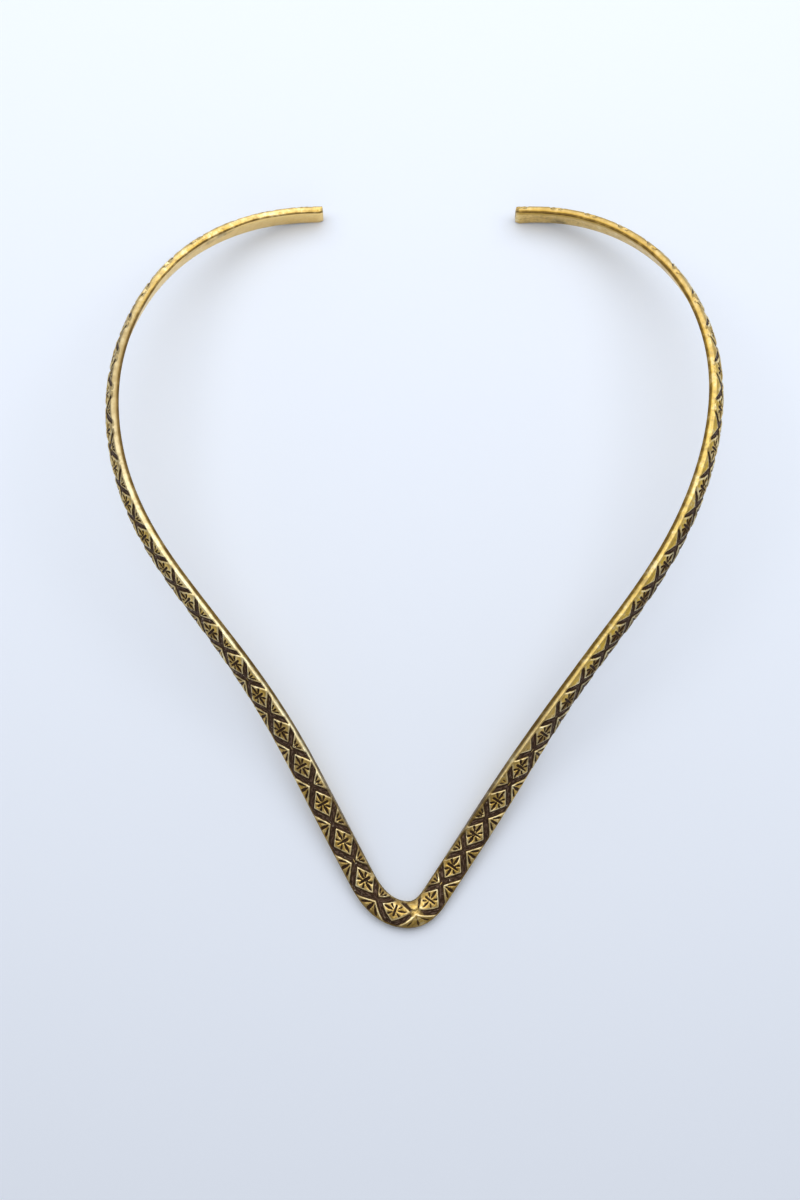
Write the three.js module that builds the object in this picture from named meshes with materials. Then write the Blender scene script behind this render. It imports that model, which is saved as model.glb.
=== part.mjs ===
// A rigid open collar (torc) bent from one strip of pattern-rolled metal.
//
// The strip has a flat back and a shallow domed face. The face carries a repeating
// relief: a chain of diamonds parted by crossing grooves. The strip lies flat at a
// pointed front (the nose), its two legs rise and twist outward to the shoulders, and
// the arms curl round and come down to two squared ends.
//
// Millimetres. +Z is up, +Y points to the open back, -Y to the nose, +X to the right arm.
// The origin is the centre of the outline, on the surface the collar lies on.
import * as THREE from 'three';

// ---- Strip section ----
const STRIP_WIDTH = 5.85;
const STRIP_THICKNESS = 2.5; // at the crown of the domed face
const DOME_DROP = 0.45; // how much lower the face is where the smooth margins begin
const BACK_WIDTH = 5.3; // flat back, between the two rounded lower edges
const SIDE_HEIGHT = 1.3; // height of the widest point above the back
const FIELD_OUTER = 2.45; // patterned field, from the strip's middle to the outer margin
const FIELD_INNER = 2.35; // and to the inner margin
const FIELD_AXIS = -0.42; // the pattern's own centreline, a little towards the inner edge

// ---- Stamped pattern ----
const REPEAT_LENGTH = 9.2; // one diamond and one crossing
const PATTERN_SHIFT = 1.7; // the crossing nearest the nose lies this far along the right arm
const GROOVE_DEPTH = 0.35;
const GROOVE_HALF_WIDTH = 0.75;
const STEPS_PER_REPEAT = 8;
const FIELD_ROWS = 3; // rows of points on each side of the pattern's centreline

// ---- Arms, measured along the strip from the nose ----
const ARM_LENGTH = 220.0;
const NOSE_FLAT = 5.0; // half-length of the untwisted seat under the nose
const END_CHAMFER = 0.3;

// ---- Height of the strip's centre above the surface ----
const ARCH_RISE = 16.0; // how far the shoulders stand above the nose and the ends
const ARCH_PEAK = 0.6; // where the shoulder is, as a share of the arm
const ARCH_POWER = 1.5;
const NOSE_HEIGHT = STRIP_THICKNESS / 2;
const END_HEIGHT = STRIP_WIDTH / 2; // the upright strip stands on its lower edge

// ---- Bends in plan and twist, one set per arm ----
// The nose turns the arm by noseTurn degrees over its first noseRun millimetres. After it,
// a bend starts at `from`, runs for `run` millimetres and turns the arm by `turn` degrees
// towards the middle of the collar. The twist turns the face outward: `leg` degrees over
// the first `legRun` millimetres, and the rest up to `end` along the whole arm. The higher
// `delay` is, the later the rest comes. Bending stretched the strip unevenly, and with it
// the pattern, which has moved outward by `reach` times a sine of length `wave`.
const ARMS = {
  left: {
    side: -1,
    noseTurn: 61.5,
    noseRun: 15,
    bends: [
      { from: 34.5, run: 45, turn: -9.5 }, // slight inward bow of the leg
      { from: 85, run: 73, turn: 45 }, // shoulder
      { from: 131.5, run: 142, turn: 119.5 }, // back curl, cut short by the free end
    ],
    twist: { leg: 46, legRun: 80, end: 85, delay: 1 },
    stretch: { reach: 2.2, wave: 205 },
  },
  right: {
    side: 1,
    noseTurn: 56,
    noseRun: 8,
    bends: [
      { from: 37.5, run: 41.5, turn: -4 },
      { from: 76, run: 83.5, turn: 36 },
      { from: 124, run: 199, turn: 201.5 },
    ],
    twist: { leg: 60, legRun: 62, end: 88, delay: 4 },
    stretch: { reach: -1.6, wave: 235 },
  },
};

const WALK_STEP = 0.05; // step of the walk along an arm
const SLOPE_STEP = 0.01; // step for the slope of the height curve
const STRETCH_ROUNDS = 8; // rounds to find where a point of the pattern ends up

const clamp01 = (x) => Math.min(1, Math.max(0, x));
const smooth = (x) => clamp01(x) ** 2 * (3 - 2 * clamp01(x));

// ---- Curves along one arm ----

function heading(arm, distance) {
  const nose = arm.noseTurn * Math.sin((Math.PI / 2) * clamp01(distance / arm.noseRun));
  const turns = arm.bends.map((bend) => bend.turn * smooth((distance - bend.from) / bend.run));
  return THREE.MathUtils.degToRad(turns.reduce((sum, turn) => sum + turn, nose));
}

// Share of the arm passed, counted from the end of the nose's flat seat.
const armShare = (distance) => clamp01((distance - NOSE_FLAT) / (ARM_LENGTH - NOSE_FLAT));

function twist(arm, distance) {
  const { leg, legRun, end, delay } = arm.twist;
  const early = leg * smooth((distance - NOSE_FLAT) / legRun);
  return THREE.MathUtils.degToRad(early + (end - leg) * armShare(distance) ** delay);
}

function centreHeight(distance) {
  const u = armShare(distance);
  const phase = u < ARCH_PEAK ? (0.5 * u) / ARCH_PEAK : 1 - (0.5 * (1 - u)) / (1 - ARCH_PEAK);
  const arch = ARCH_RISE * Math.sin(Math.PI * phase) ** ARCH_POWER;
  return NOSE_HEIGHT + (END_HEIGHT - NOSE_HEIGHT) * smooth(u) + arch;
}

function slope(distance) {
  const rise = centreHeight(distance + SLOPE_STEP) - centreHeight(distance - SLOPE_STEP);
  return Math.asin(rise / (2 * SLOPE_STEP));
}

// The strip's frame at a point of the arm: its centre, the direction across the strip
// (towards its outer edge) and the normal of its face.
function frameAt(arm, distance, x, y) {
  const angle = heading(arm, distance);
  const rise = slope(distance);
  const roll = twist(arm, distance);
  const along = new THREE.Vector3(arm.side * Math.cos(angle), Math.sin(angle), 0);
  const outward = new THREE.Vector3(arm.side * Math.sin(angle), -Math.cos(angle), 0);
  const upright = new THREE.Vector3(0, 0, Math.cos(rise)).addScaledVector(along, -Math.sin(rise));
  return {
    centre: new THREE.Vector3(x, y, centreHeight(distance)),
    across: outward.clone().multiplyScalar(Math.cos(roll)).addScaledVector(upright, -Math.sin(roll)),
    normal: upright.clone().multiplyScalar(Math.cos(roll)).addScaledVector(outward, Math.sin(roll)),
  };
}

// Walks out from the nose in small steps, and returns the frame at each wanted distance.
function armFrames(arm, distances) {
  let [x, y, walked] = [0, 0, 0];
  return distances.map((distance) => {
    while (walked < distance) {
      const step = Math.min(WALK_STEP, distance - walked);
      const middle = walked + step / 2;
      const level = Math.cos(slope(middle)) * step;
      x += arm.side * Math.cos(heading(arm, middle)) * level;
      y += Math.sin(heading(arm, middle)) * level;
      walked += step;
    }
    return frameAt(arm, distance, x, y);
  });
}

// ---- Stamped face ----

// How far the pattern has moved along the strip at a position.
function stretched(position) {
  const { side, stretch } = position < 0 ? ARMS.left : ARMS.right;
  return side * stretch.reach * Math.sin((2 * Math.PI * Math.abs(position)) / stretch.wave);
}

// Depth of the two crossing grooves. They cross on the pattern's centreline once a repeat
// and reach the field's edges as many steps away as the field has rows of points. `row` is
// the distance from the centreline in rows, and `rowWidth` the width of a row.
function grooveDepth(patternPosition, row, rowWidth) {
  const step = REPEAT_LENGTH / STEPS_PER_REPEAT;
  const lean = Math.atan2(rowWidth, step);
  const repeats = (patternPosition - PATTERN_SHIFT) / REPEAT_LENGTH;
  const fromCrossing = REPEAT_LENGTH * Math.abs(repeats - Math.round(repeats));
  const offLine = Math.abs(fromCrossing * Math.sin(lean) - row * rowWidth * Math.cos(lean));
  return GROOVE_DEPTH * Math.max(0, 1 - offLine / GROOVE_HALF_WIDTH);
}

// The strip's outline at one position, as [across, height above mid-thickness] pairs. It
// runs along the back to the outer edge and returns over the face.
function section(patternPosition, inset) {
  const points = [
    [-BACK_WIDTH / 2, 0],
    [BACK_WIDTH / 2, 0],
    [STRIP_WIDTH / 2, SIDE_HEIGHT],
  ];
  for (let row = FIELD_ROWS; row >= -FIELD_ROWS; row -= 1) {
    const edge = row > 0 ? FIELD_OUTER : FIELD_INNER;
    const rowWidth = (edge - Math.sign(row) * FIELD_AXIS) / FIELD_ROWS;
    const v = FIELD_AXIS + row * rowWidth;
    const dome = STRIP_THICKNESS - DOME_DROP * (v / edge) ** 2;
    points.push([v, dome - grooveDepth(patternPosition, Math.abs(row), rowWidth)]);
  }
  points.push([-STRIP_WIDTH / 2, SIDE_HEIGHT]);
  const narrow = 1 - inset / (STRIP_WIDTH / 2);
  const thin = 1 - inset / (STRIP_THICKNESS / 2);
  return points.map(([v, height]) => [v * narrow, (height - STRIP_THICKNESS / 2) * thin]);
}

// ---- Solid ----

// Positions along the whole strip, negative on the left arm. They keep step with the
// stretched pattern, so that its grooves run through the points. Both ends are chamfered.
function stations() {
  const step = REPEAT_LENGTH / STEPS_PER_REPEAT;
  const full = ARM_LENGTH - END_CHAMFER;
  const inside = [];
  const count = Math.ceil(ARM_LENGTH / step);
  for (let i = -count; i <= count; i += 1) {
    const patternPosition = PATTERN_SHIFT + i * step;
    let position = patternPosition;
    for (let round = 0; round < STRETCH_ROUNDS; round += 1) {
      position = patternPosition + stretched(position);
    }
    if (Math.abs(position) < full - step / 2) inside.push({ position, inset: 0 });
  }
  const left = [{ position: -ARM_LENGTH, inset: END_CHAMFER }, { position: -full, inset: 0 }];
  const right = [{ position: full, inset: 0 }, { position: ARM_LENGTH, inset: END_CHAMFER }];
  return [...left, ...inside, ...right];
}

function stripFrames(list) {
  const left = list.filter(({ position }) => position < 0).map(({ position }) => -position);
  const right = list.filter(({ position }) => position >= 0).map(({ position }) => position);
  return [...armFrames(ARMS.left, left.reverse()).reverse(), ...armFrames(ARMS.right, right)];
}

// A closed skin over the rings, with a fan of triangles at each end. Each quad is split
// along its lower diagonal, so that the grooves run on unbroken edges.
function skin(sections) {
  const size = sections[0].length;
  const index = [];
  for (let ring = 0; ring + 1 < sections.length; ring += 1) {
    for (let j = 0; j < size; j += 1) {
      const next = (j + 1) % size;
      const [a, b] = [ring * size + j, ring * size + next];
      const [c, d] = [a + size, b + size];
      const rising = sections[ring][j][1] + sections[ring + 1][next][1];
      const falling = sections[ring][next][1] + sections[ring + 1][j][1];
      index.push(...(rising < falling ? [a, d, b, a, c, d] : [a, c, b, b, c, d]));
    }
  }
  const end = (sections.length - 1) * size;
  for (let j = 1; j + 1 < size; j += 1) {
    index.push(0, j, j + 1, end, end + j + 1, end + j);
  }
  return index;
}

function bandGeometry() {
  const list = stations();
  const frames = stripFrames(list);
  const sections = list.map(({ position, inset }) => section(position - stretched(position), inset));
  const points = sections.flatMap((outline, i) => outline.flatMap(([v, height]) =>
    frames[i].centre.clone()
      .addScaledVector(frames[i].across, v)
      .addScaledVector(frames[i].normal, height)
      .toArray()));
  const geometry = new THREE.BufferGeometry();
  geometry.setAttribute('position', new THREE.Float32BufferAttribute(points, 3));
  geometry.setIndex(skin(sections));
  geometry.computeBoundingBox();
  const { min, max } = geometry.boundingBox;
  geometry.translate(-(min.x + max.x) / 2, -(min.y + max.y) / 2, -min.z);
  geometry.computeVertexNormals();
  return geometry;
}

const antiqueBrass = new THREE.MeshStandardMaterial({ color: 0xc9a045, roughness: 0.35, metalness: 1 });

const band = new THREE.Mesh(bandGeometry(), antiqueBrass);
band.name = 'torc_band';

const torc = new THREE.Group();
torc.add(band);

export default torc;
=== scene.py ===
"""Looks of the open torc collar: one strip of antiqued brass with a rolled relief.

The strip's path, height and twist are the CAD's own formulas. Lengths are in
millimetres until the mesh is made, and the mesh is in metres. Two coordinates run
over the strip: position along it, 0 at the nose and negative on the left arm, and
v across its face, negative towards the inside of the collar.
"""
import math

import bpy
import numpy as np
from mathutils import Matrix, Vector


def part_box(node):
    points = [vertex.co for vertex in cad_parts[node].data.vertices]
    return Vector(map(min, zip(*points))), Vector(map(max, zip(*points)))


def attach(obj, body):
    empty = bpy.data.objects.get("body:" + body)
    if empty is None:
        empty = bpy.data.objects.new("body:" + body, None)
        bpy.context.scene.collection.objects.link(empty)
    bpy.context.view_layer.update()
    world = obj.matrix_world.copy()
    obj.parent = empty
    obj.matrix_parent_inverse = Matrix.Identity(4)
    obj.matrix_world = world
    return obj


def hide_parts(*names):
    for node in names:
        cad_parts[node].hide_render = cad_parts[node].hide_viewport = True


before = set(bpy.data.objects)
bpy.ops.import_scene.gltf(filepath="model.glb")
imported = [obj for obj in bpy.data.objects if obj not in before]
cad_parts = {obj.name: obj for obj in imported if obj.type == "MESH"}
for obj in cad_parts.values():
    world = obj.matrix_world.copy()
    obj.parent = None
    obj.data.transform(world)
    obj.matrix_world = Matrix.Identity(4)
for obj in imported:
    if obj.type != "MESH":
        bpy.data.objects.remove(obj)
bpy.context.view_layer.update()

MM = 0.001

# ---- Strip section ----
STRIP_WIDTH = 5.85
STRIP_THICKNESS = 2.5
CROWN_DROP = 0.45         # how far the face falls from its crown to DROP_AT
DROP_AT = 2.45
FACE_EDGE = 2.62          # where the domed face turns into the rounded shoulders
CORNER = 0.30             # radius of the lower corners
SIDE_LEVELS = (1.15, 0.72)  # heights of the rows on the flat sides
BACK_ROW = 1.25           # how far the back's outer rows are from its middle
SHOULDER_TILT = math.atan(2 * CROWN_DROP * FACE_EDGE / DROP_AT ** 2)
SHOULDER_RADIUS = (STRIP_WIDTH / 2 - FACE_EDGE) / (1 - math.sin(SHOULDER_TILT))
SHOULDER_ARC = SHOULDER_RADIUS * (math.pi / 2 - SHOULDER_TILT)
SHOULDER_BASE = (STRIP_THICKNESS - CROWN_DROP * (FACE_EDGE / DROP_AT) ** 2
                 - SHOULDER_RADIUS * math.cos(SHOULDER_TILT))

# ---- Arms, measured along the strip from the nose ----
# nose is the first turn in degrees and the length it takes. A bend is its start, its
# length and its turn. leg and end are the twist on the leg and at the end, leg_run is
# the length the first takes and delay holds back the rest. stretch is how far the
# pattern is pushed along the arm, and over what length that repeats.
ARM_LENGTH = 220.0
NOSE_FLAT = 5.0
ARCH_RISE = 16.0
ARCH_PEAK = 0.6
ARCH_POWER = 1.5
NOSE_HEIGHT = STRIP_THICKNESS / 2
END_HEIGHT = STRIP_WIDTH / 2
ARMS = {
    "left": dict(side=-1, nose=(61.5, 15.0),
                 bends=[(34.5, 45.0, -9.5), (85.0, 73.0, 45.0), (131.5, 142.0, 119.5)],
                 leg=46.0, leg_run=80.0, end=85.0, delay=1.0, stretch=(2.2, 205.0)),
    "right": dict(side=1, nose=(56.0, 8.0),
                  bends=[(37.5, 41.5, -4.0), (76.0, 83.5, 36.0), (124.0, 199.0, 201.5)],
                  leg=60.0, leg_run=62.0, end=88.0, delay=4.0, stretch=(-1.6, 235.0)),
}
WALK_STEP = 0.05
SLOPE_STEP = 0.01

# ---- Rolled pattern ----
REPEAT = 9.2              # one diamond and one crossing
PATTERN_SHIFT = 1.7
AXIS = -0.42              # the pattern's centreline, across the strip
BAND_DEPTH = 0.40         # depth of the crossing bands between the raised figures
CUT_DEPTH = 0.30          # depth of the leaves cut into the figures
RIM_HEIGHT = 0.07         # how far the figures' rims stand above their middles
WALL = 0.34               # width of the bands' sloping walls
DIAMOND = dict(half=3.12, out=2.42, inner=2.58)
OUT_TRIANGLE = dict(apex=0.66, slope=0.80)
IN_TRIANGLE = dict(apex=0.42, slope=0.84)

# Cuts, from their own figure's middle. A leaf is its start, its tip, its width and the
# share of its length at which it is fattest. The ones in lists have a mirror image.
SOFT_BORDER = 0.30        # share of a cut's width over which its border slopes
CLUB = dict(low=-1.36, high=1.66, width=0.68, flare=0.18)
ROSETTE_LEAVES = [((0.34, 0.0), (2.78, 0.0), 0.82, 0.40),
                  ((0.42, -0.28), (1.58, -1.32), 0.70, 0.62),
                  ((0.40, 0.46), (1.48, 1.58), 0.70, 0.62)]
FAN_MIDDLE = ((0.0, 1.10), (0.0, 3.70), 0.90, 0.55)
FAN_LEAVES = [((0.42, 1.42), (1.94, 3.20), 0.70, 0.62)]
TULIP_MIDDLE = ((0.0, -0.74), (0.0, -2.05), 0.58, 0.6)
TULIP_LEAVES = [((0.28, -1.00), (1.18, -2.05), 0.52, 0.6)]

CUT_INSET = (0.12, 0.26)  # a cut fades in between these distances inside its figure
TULIP_INSET = (0.08, 0.20)
TULIPS_FROM = (42, 30)    # the tulips fade in between these positions on the right leg
RIM_FROM = 0.13           # how far inside a figure its rim is, and how wide
RIM_SPREAD = 0.11
RIDGE_SPREAD = 0.15       # half the width of the ridge left in some crossings

# Rubbing widened the figures around this place at the nose, most on the inner side
NOSE_BLUR = (2.0, 4.2)    # its middle and its spread
NOSE_RAISE = 0.10
FUSED_RAISE = 0.20
# The bands narrow towards the smooth inner margin, most on the right arm
TAPER_LEFT = 0.16
TAPER_RIGHT = 0.34
TAPER_RUN = (40, 80)
# Shares by which wear and rubbing reduce the cuts, the relief and the patina
WORN_CUTS = 0.8
WORN_RELIEF = 0.45
WORN_PATINA = 0.58

# Small differences from one figure to the next, and the seeds that vary them
DIAMOND_SHIFT = 0.14
DIAMOND_LIFT = 0.10
DIAMOND_GROWTH = 0.05
CROSSING_LEAN = 0.26
SEEDS = dict(shift=1, lean=2, growth=3, lift=4, wear=5, ridge=7)

# ---- Mesh ----
STATION_STEP = 0.192
FACE_ROWS = 31
SHOULDER_ROWS = 3
COARSE = 5                # stations per ring on the sides and back
END_ROUND = 0.32          # radius of the rounded ends
END_FADE = 0.6            # length over which the relief fades out at the ends


def smooth(x):
    x = np.clip(x, 0.0, 1.0)
    return x * x * (3.0 - 2.0 * x)


def rise(x, start, end):
    """0 at start and 1 at end, smooth between them. An end below the start gives a fall."""
    return smooth((x - start) / (end - start))


def bell(x, middle, width):
    return np.exp(-((x - middle) / width) ** 2)


# ---- Path of the strip ----

def heading(arm, d):
    turn, run = arm["nose"]
    total = turn * np.sin(np.pi / 2 * np.clip(d / run, 0, 1))
    for start, length, bend in arm["bends"]:
        total = total + bend * smooth((d - start) / length)
    return np.radians(total)


def arm_share(d):
    return np.clip((d - NOSE_FLAT) / (ARM_LENGTH - NOSE_FLAT), 0, 1)


def twist(arm, d):
    early = arm["leg"] * smooth((d - NOSE_FLAT) / arm["leg_run"])
    return np.radians(early + (arm["end"] - arm["leg"]) * arm_share(d) ** arm["delay"])


def height(d):
    u = arm_share(d)
    phase = np.where(u < ARCH_PEAK, 0.5 * u / ARCH_PEAK, 1 - 0.5 * (1 - u) / (1 - ARCH_PEAK))
    arch = ARCH_RISE * np.sin(np.pi * phase) ** ARCH_POWER
    return NOSE_HEIGHT + (END_HEIGHT - NOSE_HEIGHT) * smooth(u) + arch


def slope(d):
    return np.arcsin((height(d + SLOPE_STEP) - height(d - SLOPE_STEP)) / (2 * SLOPE_STEP))


def arm_frames(arm, distances):
    """Centre, across and normal at each distance from the nose."""
    walk = np.arange(0.0, ARM_LENGTH + WALK_STEP, WALK_STEP)
    middle = walk[:-1] + WALK_STEP / 2
    level = np.cos(slope(middle)) * WALK_STEP
    turn = heading(arm, middle)
    x = np.concatenate([[0.0], np.cumsum(arm["side"] * np.cos(turn) * level)])
    y = np.concatenate([[0.0], np.cumsum(np.sin(turn) * level)])
    d = np.asarray(distances)
    h, climb, roll, side = heading(arm, d), slope(d), twist(arm, d), arm["side"]
    zero = np.zeros_like(d)
    along = np.stack([side * np.cos(h), np.sin(h), zero], 1)
    outward = np.stack([side * np.sin(h), -np.cos(h), zero], 1)
    upright = np.stack([zero, zero, np.cos(climb)], 1) - np.sin(climb)[:, None] * along
    centre = np.stack([np.interp(d, walk, x), np.interp(d, walk, y), height(d)], 1)
    c, s = np.cos(roll)[:, None], np.sin(roll)[:, None]
    return centre, c * outward - s * upright, c * upright + s * outward


def strip_frames(position):
    """Centre, across and normal at each position along the whole strip."""
    parts = [np.zeros((len(position), 3)) for _ in range(3)]
    for mask, name in ((position < 0, "left"), (position >= 0, "right")):
        for out, value in zip(parts, arm_frames(ARMS[name], np.abs(position[mask]))):
            out[mask] = value
    return parts


# ---- Relief ----

def hash01(n, seed):
    """A repeatable number from 0 to 1 for each whole number."""
    v = np.sin(n * 127.1 + seed * 311.7) * 43758.5453
    return v - np.floor(v)


def vary(n, what):
    """A repeatable difference from -0.5 to 0.5 for figure n."""
    return hash01(n, SEEDS[what]) - 0.5


def wave(x, seed, period):
    """Smooth repeatable variation from -1 to 1 along the strip."""
    t = x / period
    k = np.floor(t)
    f = smooth(t - k)
    return 2 * (hash01(k, seed) * (1 - f) + hash01(k + 1, seed) * f) - 1


def unstretched(position):
    """Position in the rolled pattern: the strip stretched unevenly as it was bent."""
    shift = np.zeros_like(position)
    for arm in ARMS.values():
        reach, length = arm["stretch"]
        moved = reach * np.sin(2 * np.pi * np.abs(position) / length) * arm["side"]
        shift = np.where(position * arm["side"] > 0, moved, shift)
    return position - shift


def inside_diamond(x, y, size):
    """Distance inside the diamond's outline, negative outside it."""
    half_y = np.where(y > 0, DIAMOND["out"], DIAMOND["inner"])
    scale = DIAMOND["half"] * half_y / np.hypot(DIAMOND["half"], half_y)
    return (size - np.abs(x) / DIAMOND["half"] - np.abs(y) / half_y) * scale


def inside_triangle(x, y, triangle):
    """Distance inside an edge triangle, which widens from its apex as y grows."""
    return (y - triangle["apex"] - np.abs(x) * triangle["slope"]) / math.hypot(1, triangle["slope"])


def leaf(x, y, start, tip, width, fattest):
    """A leaf-shaped cut from start to tip: 1 along its middle, 0 at its border."""
    (x0, y0), (x1, y1) = start, tip
    length = math.hypot(x1 - x0, y1 - y0)
    c, s = (x1 - x0) / length, (y1 - y0) / length
    t = ((x - x0) * c + (y - y0) * s) / length
    off = np.abs(-(x - x0) * s + (y - y0) * c)
    swell = np.clip(t / fattest, 0, 1) ** 0.7
    fall = np.clip((1 - t) / (1 - fattest), 0, 1)
    edge = width / 2 * np.sqrt(swell * fall * (2 - fall))
    return np.clip((edge - off) / (SOFT_BORDER * width), 0, 1)


def leaf_pairs(x, y, leaves):
    """Leaves and their mirror images."""
    return np.maximum.reduce([
        leaf(x, y, (side * start[0], start[1]), (side * tip[0], tip[1]), width, fattest)
        for start, tip, width, fattest in leaves for side in (-1, 1)])


def club(x, y):
    """The rosette's middle cut, across the strip, wider at its inner end."""
    low, high, width = CLUB["low"], CLUB["high"], CLUB["width"]
    middle, half = (low + high) / 2, (high - low) / 2
    over = np.maximum(np.abs(y - middle) - half + width / 2, 0)
    wide = width / 2 * (1.0 + CLUB["flare"] * np.clip((middle - y) / half, -1, 1))
    return np.clip((wide - np.hypot(x, over)) / (SOFT_BORDER * width), 0, 1)


def rosette(x, y, inside):
    """A middle cut, two long side leaves and four short slanting ones, in a diamond."""
    return np.maximum(club(x, y), leaf_pairs(x, y, ROSETTE_LEAVES)) * rise(inside, *CUT_INSET)


def fan(x, y, inside):
    """Three leaves in an outer edge triangle."""
    leaves = np.maximum(leaf(x, y, *FAN_MIDDLE), leaf_pairs(x, y, FAN_LEAVES))
    return leaves * rise(inside, *CUT_INSET)


def tulip(x, y, inside):
    """Three small leaves in an inner edge triangle."""
    leaves = np.maximum(leaf(x, y, *TULIP_MIDDLE), leaf_pairs(x, y, TULIP_LEAVES))
    return leaves * rise(inside, *TULIP_INSET)


def wear_over(position, y):
    """Rubbed places: the nose, the figures' inner halves on the right leg, and odd patches."""
    nose = 0.85 * bell(position, 1.5, 7.5)
    leg = 0.60 * rise(position, 44, 56) * rise(position, 98, 84) * rise(y, 0.2, -0.7)
    patchy = 0.30 * smooth(1.4 * wave(position, SEEDS["wear"], 11.0) - 0.2)
    return np.clip(np.maximum(np.maximum(nose, leg), patchy), 0, 1)


def run_out(position, v):
    """How the patina and the relief end at the smooth inner margin and the outer edge."""
    low_leg = rise(position, -112, -82) * rise(position, -12, -28)
    arc = rise(np.abs(position), 95, 145) * (1 - 0.6 * rise(position, -172, -196))
    dark = smooth((v + 2.58 + 0.44 * low_leg) / 0.24) * rise(v, 3.16, 2.82)
    deep = smooth((v + 2.85 + np.maximum(0.36 * low_leg, 0.62 * arc)) / 0.45) * rise(v, 3.19, 2.85)
    return dark, deep


def edge_polish_and_highlight(position):
    """How brightly the inner shoulder is painted, partly rubbed polish and partly painted highlight:
    most on the left leg and at the nose.
    """
    return 0.25 + 0.6 * rise(position, 14, -10) * rise(position, -140, -100)


def relief(position, v):
    """The pattern at each point: its depth below the smooth face, and the material's maps."""
    q = (unstretched(position) - PATTERN_SHIFT) / REPEAT
    cell = np.floor(q)                     # the diamond's number
    near = np.round(q)                     # the crossing's number
    y = v - AXIS
    x_figure = (q - cell - 0.5) * REPEAT + DIAMOND_SHIFT * vary(cell, "shift")
    y_figure = y + DIAMOND_LIFT * vary(cell, "lift")
    x_cross = (q - near) * REPEAT
    lean = CROSSING_LEAN * vary(near, "lean")
    diamond = inside_diamond(x_figure, y_figure, 1 + DIAMOND_GROWTH * vary(cell, "growth"))
    outer = inside_triangle(x_cross - lean, y, OUT_TRIANGLE)
    inner = inside_triangle(x_cross + 0.5 * lean, -y, IN_TRIANGLE)
    raised = np.maximum(np.maximum(diamond, outer), inner)

    # at the nose the figures were rubbed together on the strip's inner side
    at_nose = bell(position, *NOSE_BLUR)
    fused = at_nose * rise(y, 0.1, -0.7)
    raised = raised + FUSED_RAISE * fused + NOSE_RAISE * at_nose
    # further along, the bands narrow towards the smooth inner margin, most on the right arm
    taper = np.where(position > 0, TAPER_RIGHT, TAPER_LEFT) * rise(np.abs(position), *TAPER_RUN)
    raised = raised + taper * rise(y, -0.7, -2.2)
    band = (1 - smooth(raised / WALL + 0.5)) * (1 - 0.30 * fused)

    # there are no tulips at the nose or above the foot of the right leg
    tulips = tulip(x_cross, y, inner) * (1 - at_nose) * rise(position, *TULIPS_FROM)
    cut = np.maximum(rosette(x_figure, y_figure, diamond), fan(x_cross - lean, y, outer))
    wear = wear_over(position, y)
    cut = np.maximum(cut, tulips) * (1 - WORN_CUTS * wear)

    # the figures have thin rims, and some of the crossings have a ridge left in them
    rim = np.where(raised > 0, bell(raised, RIM_FROM, RIM_SPREAD), 0) * (1 - 0.7 * fused) * (1 - cut)
    ridge = bell(y, 0, RIDGE_SPREAD) * rise(np.abs(x_cross), 1.0, 0.1)
    ridge = ridge * rise(vary(near, "ridge"), 0, 0.3)
    depth = (BAND_DEPTH * band * (1 - 0.5 * ridge) * (1 - WORN_RELIEF * at_nose)
             + CUT_DEPTH * cut * (1 - band) + RIM_HEIGHT * (1 - band) - RIM_HEIGHT * rim)
    dark, deep = run_out(position, v)
    depth = depth * deep * (1 - WORN_RELIEF * wear * (1 - band))

    rubbed = at_nose * bell(x_cross, 0, 2.0) * rise(y, -0.9, -0.1)
    filled = rise(band, 0.44, 0.78) * (1 - 0.8 * ridge)
    filled = filled * (1 - WORN_PATINA * rubbed) * (1 - 0.12 * at_nose)
    patina = np.maximum(filled, rise(cut, 0.05, 0.50) * (1 - band)) * dark
    # the inner shoulder's brightness is partly polish, partly painted highlight
    polish_and_highlight = edge_polish_and_highlight(position) * rise(v, -2.5, -2.75) * (1 - patina)
    return depth, dict(patina=patina, rim=np.maximum(rim * dark, polish_and_highlight),
                       lane=rise(raised, -0.10, -0.52) * band, lean=np.sign(x_cross * y))


# ---- Mesh of the strip ----

def face_point(v):
    """Across, height and tilt of the smooth face. Past FACE_EDGE, v runs on round the shoulder."""
    over = np.abs(v) > FACE_EDGE
    angle = SHOULDER_TILT + (np.abs(v) - FACE_EDGE) / SHOULDER_RADIUS
    dome_tilt = np.arctan(2 * CROWN_DROP * np.abs(v) / DROP_AT ** 2)
    tilt = np.where(over, angle, dome_tilt)
    across = np.where(over, STRIP_WIDTH / 2 - SHOULDER_RADIUS * (1 - np.sin(angle)), np.abs(v))
    level = np.where(over, SHOULDER_BASE + SHOULDER_RADIUS * np.cos(angle),
                     STRIP_THICKNESS - CROWN_DROP * (v / DROP_AT) ** 2)
    return across * np.sign(v), level, tilt * np.sign(v)


def shrink(v, h, inset):
    """The section drawn in by inset on every side, for the rounded ends."""
    middle = STRIP_THICKNESS / 2
    return v * (1 - inset / (STRIP_WIDTH / 2)), middle + (h - middle) * (1 - inset / middle)


def place(centre, across, normal, v, h):
    """Points of the section at each station along the strip."""
    return (centre[:, None] + v[..., None] * across[:, None]
            + (h - STRIP_THICKNESS / 2)[..., None] * normal[:, None])


def side_outline():
    """The section from the outer shoulder's foot, under the back, to the inner shoulder's foot."""
    half, turn = STRIP_WIDTH / 2, np.radians([0, 30, 60, 90])
    corner_v = half - CORNER * (1 - np.cos(turn))
    corner_h = CORNER * (1 - np.sin(turn))
    outer = [(half, h) for h in SIDE_LEVELS] + list(zip(corner_v, corner_h))
    back = [(BACK_ROW, 0.0), (0.0, 0.0), (-BACK_ROW, 0.0)]
    inner = [(-v, h) for v, h in reversed(outer)]
    return np.array(outer + back + inner)


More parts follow.
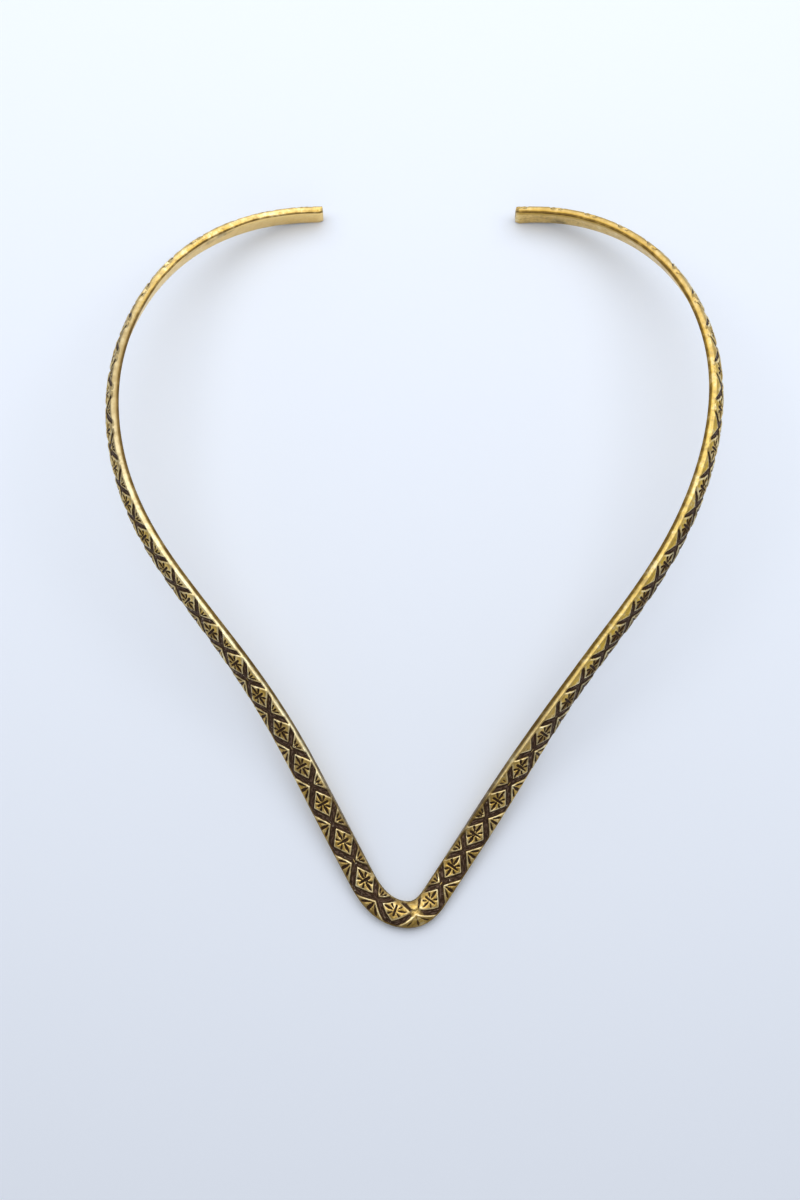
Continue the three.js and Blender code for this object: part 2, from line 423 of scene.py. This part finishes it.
def grid_faces(ids):
    """Quads over a grid of vertex numbers."""
    corners = [ids[:-1, :-1], ids[1:, :-1], ids[1:, 1:], ids[:-1, 1:]]
    return np.stack(corners, -1).reshape(-1, 4)


def seam_faces(fine, coarse):
    """Triangles between the face's fine edge and the side's coarse edge."""
    tris = []
    middle = COARSE // 2
    for ring, (near, far) in enumerate(zip(coarse[:-1], coarse[1:])):
        run = fine[ring * COARSE:(ring + 1) * COARSE + 1]
        for i in range(COARSE):
            tris.append((run[i], run[i + 1], near if i < middle else far))
        tris.append((run[middle], far, near))
    return tris


def end_faces(loop, hub):
    """A fan of triangles from an end's outline to its middle."""
    return [(a, b, hub) for a, b in zip(loop, loop[1:] + loop[:1])]


def turned(tris):
    """The same triangles, facing the other way."""
    return [(b, a, c) for a, b, c in tris]


def make_mesh(name, verts, quads, tris):
    mesh = bpy.data.meshes.new(name)
    quad_count, tri_count = len(quads), len(tris)
    mesh.vertices.add(len(verts))
    mesh.vertices.foreach_set("co", (verts * MM).astype(np.float32).ravel())
    mesh.loops.add(4 * quad_count + 3 * tri_count)
    corners = np.concatenate([quads.ravel(), tris.ravel()])
    mesh.loops.foreach_set("vertex_index", corners.astype(np.int32))
    mesh.polygons.add(quad_count + tri_count)
    starts = np.concatenate([np.arange(quad_count) * 4, 4 * quad_count + np.arange(tri_count) * 3])
    mesh.polygons.foreach_set("loop_start", starts.astype(np.int32))
    mesh.polygons.foreach_set("use_smooth", np.ones(quad_count + tri_count, bool))
    mesh.update(calc_edges=True)
    mesh.validate()
    return mesh


def build_band():
    count = int(round(2 * ARM_LENGTH / STATION_STEP / COARSE)) * COARSE
    position = np.linspace(-ARM_LENGTH, ARM_LENGTH, count + 1)
    from_end = ARM_LENGTH - np.abs(position)
    into_round = np.maximum(END_ROUND - from_end, 0)
    inset = END_ROUND - np.sqrt(np.maximum(END_ROUND ** 2 - into_round ** 2, 0))
    fade = smooth(from_end / END_FADE)[:, None]
    centre, across, normal = strip_frames(position)

    # the face and its shoulders are fine, and carry the relief
    shoulder_v = FACE_EDGE + SHOULDER_ARC * np.arange(1, SHOULDER_ROWS + 1) / SHOULDER_ROWS
    middle_v = np.linspace(-FACE_EDGE, FACE_EDGE, FACE_ROWS + 1)
    face_v = np.concatenate([-shoulder_v[::-1], middle_v, shoulder_v])
    fine_position, fine_v = np.meshgrid(position, face_v, indexing="ij")
    depth, maps = relief(fine_position, fine_v)
    smooth_v, smooth_h, tilt = face_point(fine_v)
    cut_v = smooth_v - depth * fade * np.sin(tilt)
    cut_h = smooth_h - depth * fade * np.cos(tilt)
    fine = place(centre, across, normal, *shrink(cut_v, cut_h, inset[:, None]))

    # the sides and the back are coarse and plain
    rings = np.arange(0, count + 1, COARSE)
    side = side_outline()
    side_v = np.tile(side[:, 0], (len(rings), 1))
    side_h = np.tile(side[:, 1], (len(rings), 1))
    coarse = place(centre[rings], across[rings], normal[rings],
                   *shrink(side_v, side_h, inset[rings][:, None]))

    verts = np.concatenate([fine.reshape(-1, 3), coarse.reshape(-1, 3)])
    fine_ids = np.arange(fine_v.size).reshape(fine_v.shape)
    coarse_ids = fine_v.size + np.arange(side_v.size).reshape(side_v.shape)
    tris = seam_faces(fine_ids[:, -1], coarse_ids[:, 0])
    tris += turned(seam_faces(fine_ids[:, 0], coarse_ids[:, -1]))
    loops = [list(fine_ids[end]) + list(coarse_ids[end]) for end in (0, -1)]
    tris += end_faces(loops[0], len(verts)) + turned(end_faces(loops[1], len(verts) + 1))
    hubs = [verts[loop].mean(0) for loop in loops]
    quads = np.concatenate([grid_faces(fine_ids), grid_faces(coarse_ids)])
    mesh = make_mesh("torc_band_relief", np.concatenate([verts, hubs]), quads, np.array(tris))

    def attribute(name, fine_values, coarse_values):
        end_values = np.zeros(len(loops))
        values = np.concatenate([fine_values.ravel(), coarse_values.ravel(), end_values])
        layer = mesh.attributes.new(name, "FLOAT", "POINT")
        layer.data.foreach_set("value", values.astype(np.float32))

    plain = np.zeros(side_v.shape)
    inner_foot = (side_v < 0) & (side_h == SIDE_LEVELS[0])
    attribute("patina", maps["patina"] * fade, plain)
    # the inner shoulder's partly painted highlight runs on onto the inner side's top row
    attribute("rim", maps["rim"] * fade, edge_polish_and_highlight(position[rings])[:, None] * inner_foot)
    attribute("lane", maps["lane"], plain)
    attribute("lean", maps["lean"], plain)
    attribute("along", fine_position, position[rings][:, None] + plain)
    attribute("across", fine_v, side_v)
    attribute("level", cut_h, side_h)
    return mesh


def add_object(name, data):
    piece = bpy.data.objects.new(name, data)
    bpy.context.scene.collection.objects.link(piece)
    return piece


def move_onto(mesh, low, high):
    """Moves the strip where the CAD's is: the boxes share their middle and their foot."""
    points = np.zeros(len(mesh.vertices) * 3, np.float32)
    mesh.vertices.foreach_get("co", points)
    points = points.reshape(-1, 3)
    middle = (points.min(0) + points.max(0)) / 2
    own = np.array([middle[0], middle[1], points[:, 2].min()])
    target = np.array([(low.x + high.x) / 2, (low.y + high.y) / 2, low.z])
    mesh.vertices.foreach_set("co", (points + (target - own)).astype(np.float32).ravel())
    mesh.update()


band = add_object("torc_band_relief", build_band())
low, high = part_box("torc_band")
move_onto(band.data, low, high)
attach(band, "root")
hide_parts("torc_band")


# ---- Materials ----

class Nodes:
    """Small helper to write node trees."""

    def __init__(self, owner):
        owner.use_nodes = True
        self.tree = owner.node_tree
        self.tree.nodes.clear()

    def add(self, kind):
        return self.tree.nodes.new(kind)

    def link(self, a, b):
        self.tree.links.new(a, b)

    def value(self, node, socket, source):
        if isinstance(source, bpy.types.NodeSocket):
            self.link(source, node.inputs[socket])
        else:
            node.inputs[socket].default_value = source

    def attribute(self, name):
        node = self.add("ShaderNodeAttribute")
        node.attribute_name = name
        return node.outputs["Fac"]

    def combine(self, x, y, z):
        node = self.add("ShaderNodeCombineXYZ")
        for socket, source in enumerate((x, y, z)):
            self.value(node, socket, source)
        return node.outputs[0]

    def math(self, operation, a, b=0.0):
        node = self.add("ShaderNodeMath")
        node.operation = operation
        self.value(node, 0, a)
        self.value(node, 1, b)
        return node.outputs[0]

    def times(self, first, *others):
        for other in others:
            first = self.math("MULTIPLY", first, other)
        return first

    def plus(self, first, *others):
        for other in others:
            first = self.math("ADD", first, other)
        return first

    def ramp(self, source, low, high, low_value=0.0, high_value=1.0):
        """Runs smoothly from low_value at low to high_value at high."""
        node = self.add("ShaderNodeMapRange")
        node.interpolation_type = "SMOOTHSTEP"
        self.value(node, "Value", source)
        self.value(node, "From Min", low)
        self.value(node, "From Max", high)
        self.value(node, "To Min", low_value)
        self.value(node, "To Max", high_value)
        return node.outputs["Result"]

    def noise(self, vector, scale, detail=3.0, roughness=0.5):
        node = self.add("ShaderNodeTexNoise")
        self.link(vector, node.inputs["Vector"])
        node.inputs["Scale"].default_value = scale
        node.inputs["Detail"].default_value = detail
        node.inputs["Roughness"].default_value = roughness
        return node.outputs["Fac"]

    def mix(self, factor, a, b):
        """Mixes two colours."""
        node = self.add("ShaderNodeMix")
        node.data_type = "RGBA"
        self.value(node, 0, factor)
        self.value(node, 6, a)
        self.value(node, 7, b)
        return node.outputs[2]

    def mix_value(self, factor, a, b):
        node = self.add("ShaderNodeMix")
        node.data_type = "FLOAT"
        self.value(node, 0, factor)
        self.value(node, 2, a)
        self.value(node, 3, b)
        return node.outputs[0]

    def finish(self, shader, output="ShaderNodeOutputMaterial"):
        self.link(shader.outputs[0], self.add(output).inputs["Surface"])


def rgb(r, g, b):
    """An sRGB colour from 0 to 255 as linear RGBA."""
    def linear(c):
        c /= 255
        return c / 12.92 if c <= 0.04045 else ((c + 0.055) / 1.055) ** 2.4
    return (linear(r), linear(g), linear(b), 1.0)


PALE_BRASS = rgb(226, 194, 118)
WARM_BRASS = rgb(214, 178, 90)
YELLOW_BRASS = rgb(228, 188, 46)
POLISHED_PATCH = rgb(248, 232, 180)
TARNISHED_PATCH = rgb(146, 118, 60)
TARNISHED_FLECK = rgb(128, 98, 46)
DARK_SCRATCH = rgb(138, 110, 56)
BRIGHT_SCRATCH = rgb(242, 230, 190)
# painted reflection of the lit floor on the plain back
BACK_REFLECTION = rgb(255, 220, 142)
# painted shade on the left arc's inner margin
LEFT_MARGIN_SHADE = rgb(150, 128, 84)
RIGHT_MARGIN = rgb(186, 148, 58)
LEG_BROWN = rgb(82, 58, 26)
# painted shade at the nose
NOSE_SHADE = rgb(150, 122, 62)
# partly polish, partly painted highlight on the rims
RIM_POLISH_AND_HIGHLIGHT = rgb(255, 244, 200)
DEEP_PATINA = rgb(42, 26, 12)
THIN_PATINA = rgb(66, 43, 22)
RUBBED_STREAK = rgb(134, 110, 92)
BARE_SPECK = rgb(214, 200, 170)
# painted shade: the dark room's reflection along the foot of the sides
FOOT_SHADE = rgb(92, 71, 36)
PALE_FLOOR = rgb(232, 239, 250)
ROOM_LIGHT = (0.95, 0.96, 1.0, 1.0)

METAL_ROUGHNESS = (0.30, 0.44)   # from the clean patches to the mottled ones
PATINA_ROUGHNESS = 0.60
PATINA_METALLIC = 0.72
BUMP_DEPTH = 0.1 * MM
BAND_COSINE = 0.79        # the crossing bands' slant to the strip
BAND_SINE = 0.61


def strip_maps(t):
    """The mesh's attributes, and the noises that every part of the brass uses.

    along, across and level are in millimetres. Noise scales are per metre, except that of
    the brushed marks, which is per millimetre and drawn out along the strip.
    """
    m = {name: t.attribute(name) for name in
         ("patina", "rim", "lane", "lean", "along", "across", "level")}
    where = t.add("ShaderNodeTexCoord").outputs["Object"]
    m["patches"] = t.noise(where, 95.0)
    m["mottle"] = t.noise(where, 480.0, 5.0, 0.65)
    m["grain"] = t.noise(where, 2800.0, 3.0, 0.6)
    m["flecks"] = t.noise(where, 1250.0, 3.0, 0.6)
    drawn_out = t.combine(t.times(m["along"], 0.30), t.times(m["across"], 3.6),
                          t.times(m["level"], 3.6))
    m["brushed"] = t.noise(drawn_out, 1.0, 4.0, 0.6)
    m["from_nose"] = t.math("ABSOLUTE", m["along"])
    return m


def polished_brass(t, m):
    """Warmer and paler patches, tarnish specks and long fine polishing marks."""
    golden = t.times(t.ramp(m["from_nose"], 45.0, 75.0), t.ramp(m["from_nose"], 185.0, 140.0),
                     t.ramp(m["across"], -1.1, -2.2), t.ramp(m["along"], -10.0, 10.0, 0.25, 0.80))
    metal = t.mix(t.ramp(m["patches"], 0.36, 0.64), PALE_BRASS, WARM_BRASS)
    metal = t.mix(golden, metal, YELLOW_BRASS)
    metal = t.mix(t.ramp(m["mottle"], 0.50, 0.70, 0.0, 0.70), metal, TARNISHED_PATCH)
    metal = t.mix(t.ramp(m["flecks"], 0.54, 0.68, 0.0, 0.55), metal, TARNISHED_FLECK)
    metal = t.mix(t.ramp(m["mottle"], 0.47, 0.32, 0.0, 0.75), metal, POLISHED_PATCH)
    metal = t.mix(t.ramp(m["brushed"], 0.54, 0.68, 0.0, 0.50), metal, DARK_SCRATCH)
    return t.mix(t.ramp(m["brushed"], 0.44, 0.30, 0.0, 0.55), metal, BRIGHT_SCRATCH)


def back_and_margin(t, m, metal):
    """The plain back is painted paler, a painted reflection of the lit floor, most on the left arm.
    Parts of the inner margin are painted darker: painted shade on the left arc, and a darker, more
    yellow tone towards the right end.
    """
    # painted reflection: the back is painted paler, more on the left arm
    back = t.times(t.ramp(m["level"], 0.30, 0.08), t.ramp(m["along"], -10.0, 10.0, 0.80, 0.35))
    metal = t.mix(back, metal, BACK_REFLECTION)
    # painted shade half-way round the left arc, and darker and more yellow towards the right end
    margin = t.ramp(m["across"], -1.6, -2.3)
    left_arc = t.times(t.ramp(m["along"], -176.0, -152.0), t.ramp(m["along"], -92.0, -124.0, 0.30, 0.95))
    metal = t.mix(t.times(left_arc, margin), metal, LEFT_MARGIN_SHADE)
    right_arc = t.ramp(m["along"], 120.0, 180.0, 0.0, 0.72)
    return t.mix(t.times(right_arc, margin), metal, RIGHT_MARGIN)


def browned_figures(t, m, metal):
    """The figures on the legs are darker and browner, most on the right leg."""
    right_leg = t.times(t.ramp(m["along"], 26.0, 62.0), t.ramp(m["along"], 136.0, 104.0, 0.0, 0.96))
    left_leg = t.times(t.ramp(m["along"], -22.0, -46.0), t.ramp(m["along"], -130.0, -100.0, 0.0, 0.46))
    browning = t.times(t.math("MAXIMUM", right_leg, left_leg), t.ramp(m["across"], -1.8, -0.8),
                    t.ramp(m["mottle"], 0.34, 0.56, 0.50, 1.0))
    return t.mix(browning, metal, LEG_BROWN)


def shaded_nose_bright_rims(t, m, metal):
    """Painted shade darkens the nose. The rims are painted bright: partly polish, partly painted
    highlight.
    """
    nose_shade = t.times(t.ramp(m["from_nose"], 46.0, 16.0), t.ramp(m["mottle"], 0.40, 0.62, 0.02, 0.58))
    metal = t.mix(nose_shade, metal, NOSE_SHADE)
    bright = t.times(m["rim"], t.ramp(m["mottle"], 0.40, 0.56, 0.95, 0.55))
    return t.mix(bright, metal, RIM_POLISH_AND_HIGHLIGHT)


def painted_foot_shade(t, m, metal):
    """A thin line of painted shade at the foot of both sides, for the dark room mirrored in the lower
    corner and walls: the greater the scale, the thinner.
    """
    scale = t.math("MAXIMUM", t.ramp(m["along"], -185.0, -62.0, 1.0, 0.43),
                   t.ramp(m["along"], 40.0, 200.0, 0.43, 0.75))
    nose_scale = t.ramp(m["across"], -1.0, -2.0, 0.63, 0.54)
    scale = t.times(scale, t.ramp(m["from_nose"], 28.0, 50.0, nose_scale, 1.0))
    wander = t.times(t.math("SUBTRACT", m["patches"], 0.5), 0.5)
    level = t.times(t.plus(m["level"], wander), scale)
    line = t.times(t.ramp(level, 0.62, 0.40), t.ramp(level, 0.02, 0.10),
                   t.ramp(m["mottle"], 0.25, 0.62, 0.62, 0.95))
    return t.mix(line, metal, FOOT_SHADE)


def dark_patina(t, m):
    """Patina, with streaks rubbed along the middle of the bands and a few bare specks."""
    along, across, lean = m["along"], m["across"], m["lean"]
    along_band = t.plus(t.times(along, BAND_COSINE), t.times(across, lean, BAND_SINE))
    over_band = t.math("SUBTRACT", t.times(across, BAND_COSINE), t.times(along, lean, BAND_SINE))
    streaks = t.noise(t.combine(t.times(along_band, 0.9), t.times(over_band, 4.2), lean), 1.0, 3.0, 0.55)
    dark = t.mix(t.ramp(m["grain"], 0.3, 0.7), DEEP_PATINA, THIN_PATINA)
    dark = t.mix(t.times(t.ramp(streaks, 0.47, 0.64), m["lane"], 0.70), dark, RUBBED_STREAK)
    return t.mix(t.times(t.ramp(m["flecks"], 0.64, 0.72), m["lane"], 0.8), dark, BARE_SPECK)


def brass_material():
    material = bpy.data.materials.new("antique_brass")
    t = Nodes(material)
    m = strip_maps(t)
    metal = polished_brass(t, m)
    for layer in (back_and_margin, browned_figures, shaded_nose_bright_rims, painted_foot_shade):
        metal = layer(t, m, metal)
    # patina fills the bands and the leaves, with a ragged border
    ragged = t.times(t.math("SUBTRACT", m["grain"], 0.5), 0.5)
    filled = t.ramp(t.plus(m["patina"], ragged), 0.30, 0.66)

    bump = t.add("ShaderNodeBump")
    bump.inputs["Strength"].default_value = 0.5
    bump.inputs["Distance"].default_value = BUMP_DEPTH
    surface = t.plus(t.times(m["grain"], 0.4), m["mottle"], t.times(m["brushed"], 0.6))
    t.link(surface, bump.inputs["Height"])

    shader = t.add("ShaderNodeBsdfPrincipled")
    t.link(t.mix(filled, metal, dark_patina(t, m)), shader.inputs["Base Color"])
    metal_roughness = t.ramp(m["mottle"], 0.3, 0.75, *METAL_ROUGHNESS)
    t.link(t.mix_value(filled, metal_roughness, PATINA_ROUGHNESS), shader.inputs["Roughness"])
    t.link(t.mix_value(filled, 1.0, PATINA_METALLIC), shader.inputs["Metallic"])
    t.link(bump.outputs["Normal"], shader.inputs["Normal"])
    t.finish(shader)
    return material


band.data.materials.append(brass_material())


# ---- Floor ----
FLOOR_SIZE = 12.0


def floor_material():
    material = bpy.data.materials.new("pale_floor")
    t = Nodes(material)
    shader = t.add("ShaderNodeBsdfPrincipled")
    shader.inputs["Base Color"].default_value = PALE_FLOOR
    shader.inputs["Roughness"].default_value = 0.9
    shader.inputs["Specular IOR Level"].default_value = 0.1
    t.finish(shader)
    return material


def floor_mesh():
    half = FLOOR_SIZE / 2
    corners = [(-half, -half, 0), (half, -half, 0), (half, half, 0), (-half, half, 0)]
    mesh = bpy.data.meshes.new("floor")
    mesh.from_pydata(corners, [], [(0, 1, 2, 3)])
    mesh.materials.append(floor_material())
    return mesh


floor = add_object("floor", floor_mesh())

# ---- Camera ----
TILT = math.radians(15.0)
CAMERA_DISTANCE = 0.38733
AIM = Vector((-0.0034864, -0.0119117, 0.0))


def add_camera():
    data = bpy.data.cameras.new("camera")
    data.lens = 50.0
    data.sensor_width = 36.0
    data.clip_start = 0.01
    data.clip_end = 10.0
    camera = add_object("camera", data)
    camera.location = AIM + CAMERA_DISTANCE * Vector((0, -math.sin(TILT), math.cos(TILT)))
    camera.rotation_euler = (TILT, 0, 0)
    return camera


bpy.context.scene.camera = add_camera()

# ---- Light ----
LAMP_PLACE = (0.04, 0.27, 0.44)
LAMP_SIZE = (1.15, 0.66)
LAMP_POWER = 3.55
# the room is brighter towards the horizon than overhead
HORIZON_STRENGTH = 0.90
OVERHEAD_STRENGTH = 0.36
OVERHEAD_FROM = 0.6       # upward part of the direction from which the strength is constant


def add_lamp():
    """A large soft lamp above and behind the collar, facing straight down."""
    data = bpy.data.lights.new("overhead", "AREA")
    data.shape = "RECTANGLE"
    data.size, data.size_y = LAMP_SIZE
    data.energy = LAMP_POWER
    add_object("overhead", data).location = LAMP_PLACE


def studio_world():
    world = bpy.data.worlds.new("studio")
    t = Nodes(world)
    parts = t.add("ShaderNodeSeparateXYZ")
    t.link(t.add("ShaderNodeTexCoord").outputs["Generated"], parts.inputs[0])
    strength = t.add("ShaderNodeMapRange")
    t.link(parts.outputs["Z"], strength.inputs["Value"])
    strength.inputs["From Max"].default_value = OVERHEAD_FROM
    strength.inputs["To Min"].default_value = HORIZON_STRENGTH
    strength.inputs["To Max"].default_value = OVERHEAD_STRENGTH
    background = t.add("ShaderNodeBackground")
    background.inputs["Color"].default_value = ROOM_LIGHT
    t.link(strength.outputs["Result"], background.inputs["Strength"])
    t.finish(background, "ShaderNodeOutputWorld")
    return world


add_lamp()
bpy.context.scene.world = studio_world()
bpy.context.scene.view_settings.view_transform = "Standard"
